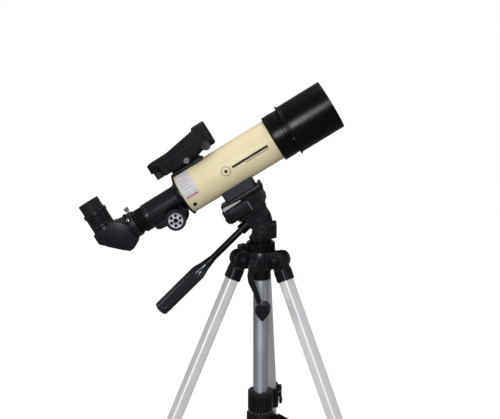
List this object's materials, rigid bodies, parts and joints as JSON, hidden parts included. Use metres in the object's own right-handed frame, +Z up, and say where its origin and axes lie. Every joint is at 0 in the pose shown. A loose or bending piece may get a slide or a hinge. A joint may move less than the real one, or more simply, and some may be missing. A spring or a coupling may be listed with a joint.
{
  "type": "refracting telescope on tripod",
  "caption": "Small cream refracting telescope with a right-angle eyepiece and red dot finder, on a pan and tilt photo tripod with braced folding legs.",
  "frame": {"origin": "centre of the bounding box on the floor under the feet", "axes": "+Z up; the tube points toward +X and up, in a plane parallel to XZ; -Y is the side with the crank and the finder's dial; the rear leg stands toward +Y"},
  "size_m": [0.5274, 0.4776, 0.8212],
  "materials": {
    "black_plastic": "fine moulded texture",
    "grey_plastic": "fine moulded texture",
    "black_paint": "satin black coat",
    "cream_paint": "gloss cream coat",
    "soft_rubber": "matt rubber",
    "lens_glass": "coated optical glass",
    "bright_chrome": "polished",
    "anodised": "satin anodised",
    "shaft_steel": "ground"
  },
  "bodies": {
    "shoulder": {"shoulder": "grey_plastic"},
    "leg_left": {"leg_socket_left": "black_plastic", "leg_upper_left": "anodised", "leg_lock_left": "black_plastic"},
    "leg_right": {"leg_socket_right": "black_plastic", "leg_upper_right": "anodised", "leg_lock_right": "black_plastic"},
    "leg_rear": {"leg_socket_rear": "black_plastic", "leg_upper_rear": "anodised", "leg_lock_rear": "black_plastic"},
    "lower_left": {"leg_lower_left": "anodised", "leg_foot_left": "soft_rubber"},
    "lower_right": {"leg_lower_right": "anodised", "leg_foot_right": "soft_rubber"},
    "lower_rear": {"leg_lower_rear": "anodised", "leg_foot_rear": "soft_rubber"},
    "lever_left": {"leg_lever_left": "black_plastic"},
    "lever_right": {"leg_lever_right": "black_plastic"},
    "lever_rear": {"leg_lever_rear": "black_plastic"},
    "brace_left": {"strut_left": "black_plastic"},
    "brace_right": {"strut_right": "black_plastic"},
    "brace_rear": {"strut_rear": "black_plastic"},
    "hub": {"brace_hub": "black_plastic"},
    "column": {"column": "anodised"},
    "crank": {"crank_arm": "black_plastic"},
    "crank_grip": {"crank_knob": "black_plastic"},
    "column_lock": {"column_lock_knob": "black_plastic"},
    "pan": {"pan_body": "grey_plastic"},
    "tilt": {"tilt_body": "grey_plastic", "handle_rod": "black_paint", "platform": "grey_plastic", "quick_plate": "grey_plastic", "tube_foot": "grey_plastic", "main_tube": "cream_paint", "objective_cell": "black_paint", "objective_lens": "lens_glass", "dew_shield": "black_paint", "focuser_housing": "black_plastic", "finder_shoe": "black_plastic", "finder_body": "black_plastic", "finder_window": "lens_glass"},
    "grip": {"handle_grip": "soft_rubber"},
    "release": {"release_lever": "black_plastic"},
    "platform_lock": {"platform_knob": "black_plastic"},
    "drawtube": {"drawtube": "black_paint", "eyepiece_holder": "grey_plastic"},
    "focus": {"focus_shaft": "shaft_steel", "focus_knob_near": "black_plastic", "focus_knob_far": "black_plastic"},
    "screw_top": {"holder_screw_top": "bright_chrome"},
    "screw_side": {"holder_screw_side": "bright_chrome"},
    "diagonal": {"diagonal_body": "black_plastic", "diagonal_mirror": "lens_glass"},
    "eyepiece": {"eyepiece_body": "black_paint", "eyecup": "soft_rubber", "eyepiece_lens": "lens_glass"},
    "screw_eyepiece": {"eyepiece_screw": "bright_chrome"},
    "dial": {"finder_dial": "black_plastic"},
    "finder_clamp": {"finder_clamp_screw": "bright_chrome"},
    "adjuster": {"finder_adjuster": "black_plastic"}
  },
  "joints": [
    {"name": "leg_spread_rear", "type": "hinge", "parent": "shoulder", "child": "leg_rear", "pos_m": [0.02779, -0.01951, 0.54598], "axis": [0.9925, -0.1219, 0], "range_deg": [-20, 0]},
    {"name": "leg_spread_left", "type": "hinge", "parent": "shoulder", "child": "leg_left", "pos_m": [-0.00869, -0.06792, 0.54598], "axis": [-0.3907, 0.9205, 0], "range_deg": [-20, 0]},
    {"name": "leg_spread_right", "type": "hinge", "parent": "shoulder", "child": "leg_right", "pos_m": [0.05147, -0.07531, 0.54598], "axis": [-0.6018, -0.7986, 0], "range_deg": [-20, 0]},
    {"name": "hub_slide", "type": "slide", "parent": "shoulder", "child": "hub", "axis": [0, 0, 1], "range_m": [0, 0.07784]},
    {"name": "brace_swing_left", "type": "hinge", "parent": "hub", "child": "brace_left", "pos_m": [-0.00041, -0.06441, 0.27598], "axis": [0.3907, -0.9205, 0], "range_deg": [0, 63.2]},
    {"name": "brace_swing_right", "type": "hinge", "parent": "hub", "child": "brace_right", "pos_m": [0.04429, -0.06989, 0.27598], "axis": [0.6018, 0.7986, 0], "range_deg": [0, 63.2]},
    {"name": "brace_swing_rear", "type": "hinge", "parent": "hub", "child": "brace_rear", "pos_m": [0.02669, -0.02844, 0.27598], "axis": [-0.9925, 0.1219, 0], "range_deg": [0, 63.2]},
    {"name": "leg_extend_left", "type": "slide", "parent": "leg_left", "child": "lower_left", "axis": [0.3817, 0.162, 0.91], "range_m": [0, 0.216]},
    {"name": "leg_extend_right", "type": "slide", "parent": "leg_right", "child": "lower_right", "axis": [-0.3312, 0.2496, 0.91], "range_m": [0, 0.216]},
    {"name": "leg_extend_rear", "type": "slide", "parent": "leg_rear", "child": "lower_rear", "axis": [-0.0505, -0.4116, 0.91], "range_m": [0, 0.216]},
    {"name": "leg_lever_left", "type": "hinge", "parent": "leg_left", "child": "lever_left", "pos_m": [-0.13582, -0.10276, 0.25934], "axis": [0.8376, 0.3556, -0.4147], "range_deg": [0, 100]},
    {"name": "leg_lever_right", "type": "hinge", "parent": "leg_right", "child": "lever_right", "pos_m": [0.14521, -0.16798, 0.25934], "axis": [-0.7267, 0.5476, -0.4147], "range_deg": [0, 100]},
    {"name": "leg_lever_rear", "type": "hinge", "parent": "leg_rear", "child": "lever_rear", "pos_m": [0.06118, 0.108, 0.25934], "axis": [-0.1109, -0.9032, -0.4147], "range_deg": [0, 100]},
    {"name": "column_lift", "type": "slide", "parent": "shoulder", "child": "column", "axis": [0, 0, 1], "range_m": [0, 0.12]},
    {"name": "crank_turn", "type": "hinge", "parent": "shoulder", "child": "crank", "pos_m": [0.01289, -0.09979, 0.53798], "axis": [-0.1219, -0.9925, 0], "range_deg": [0, 1440]},
    {"name": "crank_grip_spin", "type": "hinge", "parent": "crank", "child": "crank_grip", "pos_m": [0.02637, -0.11555, 0.47377], "axis": [-0.1219, -0.9925, 0], "continuous": true},
    {"name": "column_lock_turn", "type": "hinge", "parent": "shoulder", "child": "column_lock", "pos_m": [0.02352, -0.05425, 0.55298], "axis": [-0.788, 0.6157, 0], "range_deg": [0, 270]},
    {"name": "pan", "type": "hinge", "parent": "column", "child": "pan", "pos_m": [0.02352, -0.05425, 0.57298], "axis": [0, 0, 1], "continuous": true},
    {"name": "tilt", "type": "hinge", "parent": "pan", "child": "tilt", "pos_m": [0.02552, -0.05425, 0.59298], "axis": [0, -1, 0], "range_deg": [-45, 10]},
    {"name": "grip_twist", "type": "hinge", "parent": "tilt", "child": "grip", "pos_m": [-0.08851, -0.05425, 0.50803], "axis": [-0.7071, 0, -0.7071], "range_deg": [0, 180]},
    {"name": "release_swing", "type": "hinge", "parent": "tilt", "child": "release", "pos_m": [-0.02371, -0.05425, 0.61207], "axis": [0, 1, 0], "range_deg": [0, 25]},
    {"name": "platform_knob_turn", "type": "hinge", "parent": "tilt", "child": "platform_lock", "pos_m": [0.02915, -0.06725, 0.61959], "axis": [0, -1, 0], "range_deg": [0, 270]},
    {"name": "focus_slide", "type": "slide", "parent": "tilt", "child": "drawtube", "axis": [-0.8526, 0, -0.5225], "range_m": [-0.017, 0.05]},
    {"name": "focus_turn", "type": "hinge", "parent": "tilt", "child": "focus", "pos_m": [-0.10795, -0.05425, 0.6104], "axis": [0, 1, 0], "range_deg": [-720, 245]},
    {"name": "holder_screw_top_turn", "type": "hinge", "parent": "drawtube", "child": "screw_top", "pos_m": [-0.18968, -0.05425, 0.62319], "axis": [-0.5225, 0, 0.8526], "range_deg": [0, 270]},
    {"name": "holder_screw_side_turn", "type": "hinge", "parent": "drawtube", "child": "screw_side", "pos_m": [-0.18297, -0.0792, 0.60937], "axis": [-0.2372, -0.891, 0.3871], "range_deg": [0, 270]},
    {"name": "diagonal_turn", "type": "hinge", "parent": "drawtube", "child": "diagonal", "pos_m": [-0.20148, -0.05425, 0.58312], "axis": [-0.8526, 0, -0.5225], "continuous": true},
    {"name": "eyepiece_pull", "type": "slide", "parent": "diagonal", "child": "eyepiece", "axis": [-0.5225, 0, 0.8526], "range_m": [0, 0.015]},
    {"name": "eyepiece_screw_turn", "type": "hinge", "parent": "diagonal", "child": "screw_eyepiece", "pos_m": [-0.22125, -0.02925, 0.58859], "axis": [0, 1, 0], "range_deg": [0, 270]},
    {"name": "dial_turn", "type": "hinge", "parent": "tilt", "child": "dial", "pos_m": [-0.06129, -0.07325, 0.7245], "axis": [0, -1, 0], "range_deg": [0, 270]},
    {"name": "finder_clamp_turn", "type": "hinge", "parent": "tilt", "child": "finder_clamp", "pos_m": [-0.09234, -0.07625, 0.70359], "axis": [0, -1, 0], "range_deg": [0, 270]},
    {"name": "adjuster_turn", "type": "hinge", "parent": "tilt", "child": "adjuster", "pos_m": [-0.1365, -0.05425, 0.67689], "axis": [-0.5225, 0, 0.8526], "range_deg": [0, 270]}
  ],
  "couplings": [
    {"joint": "leg_spread_left", "follows": "leg_spread_rear", "ratio": 1},
    {"joint": "leg_spread_right", "follows": "leg_spread_rear", "ratio": 1},
    {"joint": "hub_slide", "follows": "leg_spread_rear", "m_per_rad": -0.223},
    {"joint": "brace_swing_left", "follows": "leg_spread_rear", "ratio": -3.16},
    {"joint": "brace_swing_right", "follows": "leg_spread_rear", "ratio": -3.16},
    {"joint": "brace_swing_rear", "follows": "leg_spread_rear", "ratio": -3.16},
    {"joint": "crank_turn", "follows": "column_lift", "rad_per_m": 209},
    {"joint": "focus_turn", "follows": "focus_slide", "rad_per_m": -250}
  ]
}
